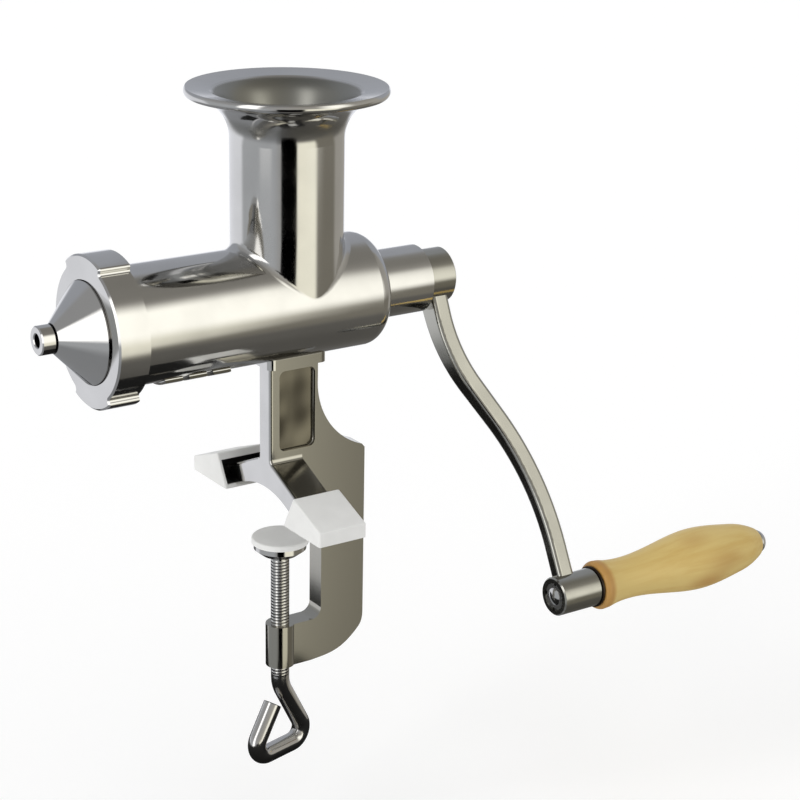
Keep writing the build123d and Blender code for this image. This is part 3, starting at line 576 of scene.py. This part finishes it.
nozzle_steel = steel("nozzle_steel", STEEL_COLOUR, 0.06, 0.09, 0.000002)
overlay(nozzle_steel, inside_bore, (PULP_HOLE_R, 0.1 * MM), SHADE, 0.6)
overlay(nozzle_steel, inside_box, (GROOVE_LOW, GROOVE_HIGH, 0.05 * MM), SHADE, 0.5)
barrel_steel = steel("barrel_steel", STEEL_COLOUR, 0.07, 0.12, 0.000002)
# painted shade: the slot lips under the barrel are painted dark
overlay(barrel_steel, on_lips, (), PAINTED_SHADE_DARK, 0.3)
print("dark places:", nozzle_steel.name, barrel_steel.name)

# %% [markdown]
# The funnel's bowl was spun on a lathe and only its rim and outside were buffed, so the bowl is
# satin. Its colour is painted darker than the steel, as painted shade inside the bowl. The bowl is
# everything closer to the feed tube's axis than a cone that runs between the inner and the outer
# wall.

# %% Satin bowl of the funnel
BOWL_FOOT_R = 23.2 * MM
BOWL_FOOT_Z = 166.0 * MM
BOWL_OPENING = 0.42
BOWL_EDGE = 0.6 * MM
SATIN_AND_SHADE = (0.34, 0.335, 0.3, 1)

funnel_steel = steel("funnel_steel", STEEL_COLOUR, 0.07, 0.12, 0.000002)
bowl = (BOWL_FOOT_R, BOWL_FOOT_Z, BOWL_OPENING, BOWL_EDGE)
# painted shade: the bowl is painted darker, with a satin roughness
overlay(funnel_steel, inside_cone, bowl, SATIN_AND_SHADE, 0.36)
print("satin bowl:", funnel_steel.name)

# %% [markdown]
# The clamp screw's thread fits its boss closely, so only a fine groove can show on it. The groove
# follows a helix: the height along the screw, counted in turns, less the angle round it. Where the
# difference passes a whole number the groove is deepest. Its valleys are painted dark, as painted
# shade in the groove.

# %% Cut thread of the clamp screw
SCREW_AXIS_X = -3.5 * MM
SCREW_PITCH = 1.5 * MM
CUT_FROM, CUT_TO = -86.0 * MM, -27.0 * MM
CUT_DEPTH = 0.3 * MM

screw_steel = steel("screw_steel", STEEL_COLOUR, 0.1, 0.18, 0.000002)
tree = screw_steel.node_tree
shader = tree.nodes["Principled BSDF"]
position = place(tree, "ShaderNodeTexCoord", {}).outputs["Object"]
at = place(tree, "ShaderNodeSeparateXYZ", {0: position})
across = maths(tree, "SUBTRACT", at.outputs["X"], SCREW_AXIS_X)
angle = maths(tree, "ARCTAN2", at.outputs["Y"], across)
angle = maths(tree, "DIVIDE", angle, radians(360.0))
turn = maths(tree, "DIVIDE", at.outputs["Z"], SCREW_PITCH)
cut = maths(tree, "PINGPONG", maths(tree, "SUBTRACT", turn, angle), 0.5)
started = ramped(tree, at.outputs["Z"], CUT_FROM, CUT_FROM + SCREW_PITCH)
stopped = ramped(tree, at.outputs["Z"], CUT_TO - SCREW_PITCH, CUT_TO, 1.0, 0.0)
cut_part = maths(tree, "MULTIPLY", started, stopped)
height = maths(tree, "MULTIPLY", cut, cut_part)
old_normal = shader.inputs["Normal"].links[0].from_socket
grooved = {"Height": height, "Distance": CUT_DEPTH, "Normal": old_normal}
tree.links.new(place(tree, "ShaderNodeBump", grooved).outputs[0], shader.inputs["Normal"])
# painted shade: the valleys of the groove are painted darker
groove_shade = maths(tree, "MULTIPLY", ramped(tree, cut, 0.05, 0.3, 0.6, 0.0), cut_part)
old_colour = shader.inputs["Base Color"].links[0].from_socket
tree.links.new(mixed(tree, groove_shade, old_colour, PAINTED_SHADE_DARK), shader.inputs["Base Color"])
print("cut thread:", round((CUT_TO - CUT_FROM) / SCREW_PITCH), "turns")

# %% [markdown]
# ## Wood of the grip
# The grip was turned from a pale hardwood with the grain along its length, then oiled. Long thin
# streaks come from noise that is squeezed across the grip. The ring next to the crank is painted
# darker, and three faint brown spots show on its outer side.

# %% Oiled wood
GRIP_LOW, GRIP_HIGH = (Vector(corner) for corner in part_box("wooden_grip"))
GRIP_MIDDLE = (GRIP_LOW + GRIP_HIGH) / 2
WOOD_LIGHT = (0.67, 0.495, 0.17, 1)
WOOD_STREAK = (0.61, 0.415, 0.12, 1)
WOOD_DARKER = (0.43, 0.2, 0.04, 1)
SPOTS = {
    # name: (place along the grip, place across, height, radius, strength)
    "swirl": (0.056, -0.005, 0.011, 0.007, 0.45),
    "blotch": (0.070, -0.0125, 0.001, 0.009, 0.4),
    "knot": (0.060, -0.011, -0.006, 0.008, 0.75),
}
RING_END = GRIP_LOW.x + 4.5 * MM
RING_EDGE = 1.5 * MM
GRAIN_WANDER = (0.0, 0.002, 0.002)
GRAIN_STRETCH = (7.0, 190.0, 190.0)
PORE_STRETCH = (60.0, 1500.0, 1500.0)
SPOT_STRETCH = (0.5, 1.0, 1.0)

grip_wood = bpy.data.materials.new("oiled_wood")
grip_wood.use_nodes = True
tree = grip_wood.node_tree
shader = tree.nodes["Principled BSDF"]
at = place(tree, "ShaderNodeTexCoord", {}).outputs["Object"]
from_axis = vectors(tree, "SUBTRACT", at, GRIP_MIDDLE)
wander = noise(tree, from_axis, 25.0, 1.0).outputs["Color"]
wander = vectors(tree, "MULTIPLY", wander, GRAIN_WANDER)
bent = vectors(tree, "ADD", from_axis, wander)
long_way = vectors(tree, "MULTIPLY", bent, GRAIN_STRETCH)
streaks = noise(tree, long_way, 1.0, 5.0, 0.6).outputs[0]
streaks = ramped(tree, streaks, 0.38, 0.72)
fine_way = vectors(tree, "MULTIPLY", bent, PORE_STRETCH)
pores = noise(tree, fine_way, 1.0, 2.0).outputs[0]
colour = mixed(tree, streaks, WOOD_LIGHT, WOOD_STREAK)

for forward, across, up, radius, strength in SPOTS.values():
    spot = Vector((GRIP_LOW.x + forward, GRIP_MIDDLE.y + across, GRIP_MIDDLE.z + up))
    way = vectors(tree, "SUBTRACT", at, spot)
    way = vectors(tree, "MULTIPLY", way, SPOT_STRETCH)
    far = place(tree, "ShaderNodeVectorMath", {0: way}, operation="LENGTH").outputs["Value"]
    colour = mixed(tree, ramped(tree, far, 0.0, radius, strength, 0.0), colour, WOOD_DARKER)

along = place(tree, "ShaderNodeSeparateXYZ", {0: at}).outputs["X"]
# the ring next to the crank is painted darker
ring = ramped(tree, along, RING_END - RING_EDGE, RING_END + RING_EDGE, 0.8, 0.0)
colour = mixed(tree, ring, colour, WOOD_DARKER)
bump = place(tree, "ShaderNodeBump", {"Height": pores, "Distance": 0.00003})
tree.links.new(colour, shader.inputs["Base Color"])
tree.links.new(bump.outputs[0], shader.inputs["Normal"])
tree.links.new(ramped(tree, streaks, 0.0, 1.0, 0.42, 0.55), shader.inputs["Roughness"])
shader.inputs["Coat Weight"].default_value = 0.15
shader.inputs["Coat Roughness"].default_value = 0.3
print("grip is", round((GRIP_HIGH.x - GRIP_LOW.x) / MM), "mm long")

# %% [markdown]
# ## Moulded plastic and rubber
# The white foot pads are moulded, with a barely matte skin. Their sockets are deep, and the shade
# inside them is painted dark. The same recipe with other colours makes the nylon bearings and the
# pale rubber seals.

# %% Moulded pieces
SOCKET_LOW = Vector((-15.8, 27.0, 1.4)) * MM
SOCKET_HIGH = Vector((5.2, 38.1, 11.9)) * MM
SOCKET_SHADE = (0.03, 0.03, 0.03, 1)
MOTTLE_SCALE = 90.0
MOTTLE_DIMMING = 0.95
SKIN_SCALE = 2500.0
ROUGHER = 0.08


def moulded(name, colour, roughness, grain, socket=False):
    """Plastic or rubber with a fine mould grain and, if asked for, painted shade in its socket."""
    material = bpy.data.materials.new(name)
    material.use_nodes = True
    tree = material.node_tree
    shader = tree.nodes["Principled BSDF"]
    position = place(tree, "ShaderNodeTexCoord", {}).outputs["Object"]
    mottle = ramped(tree, noise(tree, position, MOTTLE_SCALE, 3.0).outputs[0], 0.3, 0.7)
    skin = noise(tree, position, SKIN_SCALE, 2.0).outputs[0]
    shaded = [part * MOTTLE_DIMMING for part in colour]
    base = mixed(tree, mottle, (*colour, 1), (*shaded, 1))
    if socket:
        # painted shade deep inside the socket
        mask = inside_box(tree, position, SOCKET_LOW, SOCKET_HIGH, 0.05 * MM)
        base = mixed(tree, mask, base, SOCKET_SHADE)
    bump = place(tree, "ShaderNodeBump", {"Height": skin, "Distance": grain})
    tree.links.new(base, shader.inputs["Base Color"])
    shine = maths(tree, "MULTIPLY_ADD", mottle, ROUGHER, roughness)
    tree.links.new(shine, shader.inputs["Roughness"])
    tree.links.new(bump.outputs[0], shader.inputs["Normal"])
    return material


white_plastic = moulded("white_plastic", (0.82, 0.82, 0.8), 0.5, 0.00001, socket=True)
white_nylon = moulded("white_nylon", (0.8, 0.79, 0.74), 0.45, 0.00001)
pale_rubber = moulded("pale_rubber", (0.72, 0.71, 0.68), 0.6, 0.00003)
print("moulded finishes:", white_plastic.name, white_nylon.name, pale_rubber.name)

# %% [markdown]
# ## Threads
# The engineering model keeps threads as plain cylinders. The ridge that shows on them is a thin wire
# wound round the cylinder and sunk half way into it or more. One Geometry Nodes group winds it from
# a radius, a pitch and a number of turns, and serves both the clamp screw and the mouth of the
# barrel. The wire winds left-handed, whereas the joints, and the groove drawn in the clamp screw's
# finish, are right-handed.

# %% A ridge wound round a cylinder
STEPS_A_TURN = 40
WIRE_SIDES = 8

ridge_group, ridge_in, ridge_out = new_group(
    "thread_ridge",
    {
        "Radius": ("NodeSocketFloat", 0.004),
        "Pitch": ("NodeSocketFloat", 0.0015),
        "Turns": ("NodeSocketFloat", 10.0),
        "Wire": ("NodeSocketFloat", 0.0003),
        "Start": ("NodeSocketVector", None),
        "Turned": ("NodeSocketVector", None),
        "Finish": ("NodeSocketMaterial", None),
    },
    {"Geometry": "NodeSocketGeometry"},
    "GeometryNodeTree",
)
length = maths(ridge_group, "MULTIPLY", ridge_in.outputs["Pitch"], ridge_in.outputs["Turns"])
helix = place(ridge_group, "GeometryNodeCurveSpiral", {
    "Resolution": STEPS_A_TURN,
    "Rotations": ridge_in.outputs["Turns"],
    "Start Radius": ridge_in.outputs["Radius"],
    "End Radius": ridge_in.outputs["Radius"],
    "Height": length,
})
ring = place(ridge_group, "GeometryNodeCurvePrimitiveCircle", {
    "Resolution": WIRE_SIDES,
    "Radius": ridge_in.outputs["Wire"],
})
wire = place(ridge_group, "GeometryNodeCurveToMesh", {
    "Curve": helix.outputs["Curve"],
    "Profile Curve": ring.outputs["Curve"],
    "Fill Caps": True,
})
moved = place(ridge_group, "GeometryNodeTransform", {
    "Geometry": wire.outputs["Mesh"],
    "Translation": ridge_in.outputs["Start"],
    "Rotation": ridge_in.outputs["Turned"],
})
real = place(ridge_group, "GeometryNodeRealizeInstances", {"Geometry": moved.outputs["Geometry"]})
coated = place(ridge_group, "GeometryNodeSetMaterial", {
    "Geometry": real.outputs["Geometry"],
    "Material": ridge_in.outputs["Finish"],
})
ridge_group.links.new(coated.outputs["Geometry"], ridge_out.inputs["Geometry"])
print("thread group has", len(ridge_group.nodes), "nodes")

# %% [markdown]
# The group runs on an empty mesh. Its result is taken over as a plain mesh, so that the ridge can
# ride along with the piece it belongs to.

# %% Clamp screw and barrel mouth
THREADS = {
    # name: (body, radius, pitch, turns, wire, start, turned)
    "clamp_screw_thread": ("screw", 4.13, 1.5, 38.0, 0.155, (-3.5, 0.0, -84.75), (0.0, 0.0, 0.0)),
    "barrel_mouth_thread": ("housing", 25.5, 2.0, 2.5, 0.36, (-88.2, 0.0, 94.0), (0.0, 90.0, 0.0)),
}


def wound(name, radius, pitch, turns, wire, start, turned, finish):
    """The mesh of one thread ridge, lengths in millimetres and angles in degrees."""
    carrier = bpy.data.objects.new(name + "_source", bpy.data.meshes.new(name + "_source"))
    bpy.context.scene.collection.objects.link(carrier)
    modifier = carrier.modifiers.new("thread", "NODES")
    modifier.node_group = ridge_group
    values = {
        "Radius": radius * MM,
        "Pitch": pitch * MM,
        "Turns": turns,
        "Wire": wire * MM,
        "Start": [part * MM for part in start],
        "Turned": [radians(part) for part in turned],
        "Finish": finish,
    }
    for item in ridge_group.interface.items_tree:
        if item.in_out == "INPUT":
            modifier[item.identifier] = values[item.name]
    carrier.update_tag()
    graph = bpy.context.evaluated_depsgraph_get()
    mesh = bpy.data.meshes.new_from_object(carrier.evaluated_get(graph))
    carrier.modifiers.remove(modifier)
    bpy.data.objects.remove(carrier)
    mesh.name = name
    return mesh


for name, (body, radius, pitch, turns, wire, start, turned) in THREADS.items():
    mesh = wound(name, radius, pitch, turns, wire, start, turned, polished_steel)
    mesh.shade_smooth()
    thread = bpy.data.objects.new(name, mesh)
    bpy.context.scene.collection.objects.link(thread)
    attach(thread, body)
    print(name, "has", len(mesh.polygons), "faces")

# %% [markdown]
# ## Finishes on the pieces
# Every piece gets one finish. Most are the polished steel, so only the others are listed. The mesh
# of a piece stays as the engineering model has it.

# %% Give every piece its finish
FINISHES = {
    "clamp_stand": stand_steel,
    "barrel_housing": barrel_steel,
    "crank_arm": crank_steel,
    "clamp_screw": screw_steel,
    "hopper_funnel": funnel_steel,
    "nozzle_cone": nozzle_steel,
    "nozzle_tip": nozzle_steel,
    "wooden_grip": grip_wood,
    "foot_pad_left": white_plastic,
    "foot_pad_right": white_plastic,
    "pad_cushion": white_plastic,
    "thrust_washer": white_nylon,
    "shaft_seal": pale_rubber,
    "cap_gasket": pale_rubber,
    "grip_washer": dark_steel,
    "rear_bush": white_nylon,
    "auger": cast_steel,
    "strainer_screen": turned_steel,
    "drive_shaft": turned_steel,
    "spindle_nut": turned_steel,
    "crank_washer": turned_steel,
    "crank_screw": turned_steel,
    "swivel_rivet": turned_steel,
}

for name, node in nodes.items():
    node.data.materials.clear()
    node.data.materials.append(FINISHES.get(name, polished_steel))
print("pieces in plain polished steel:", sorted(set(nodes) - set(FINISHES)))

# %% [markdown]
# ## Size
# Looks must not change the size. The box of the bare model was taken at the start, and the box of
# the finished one is taken here.

# %% Take the box of the finished model
low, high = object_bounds()
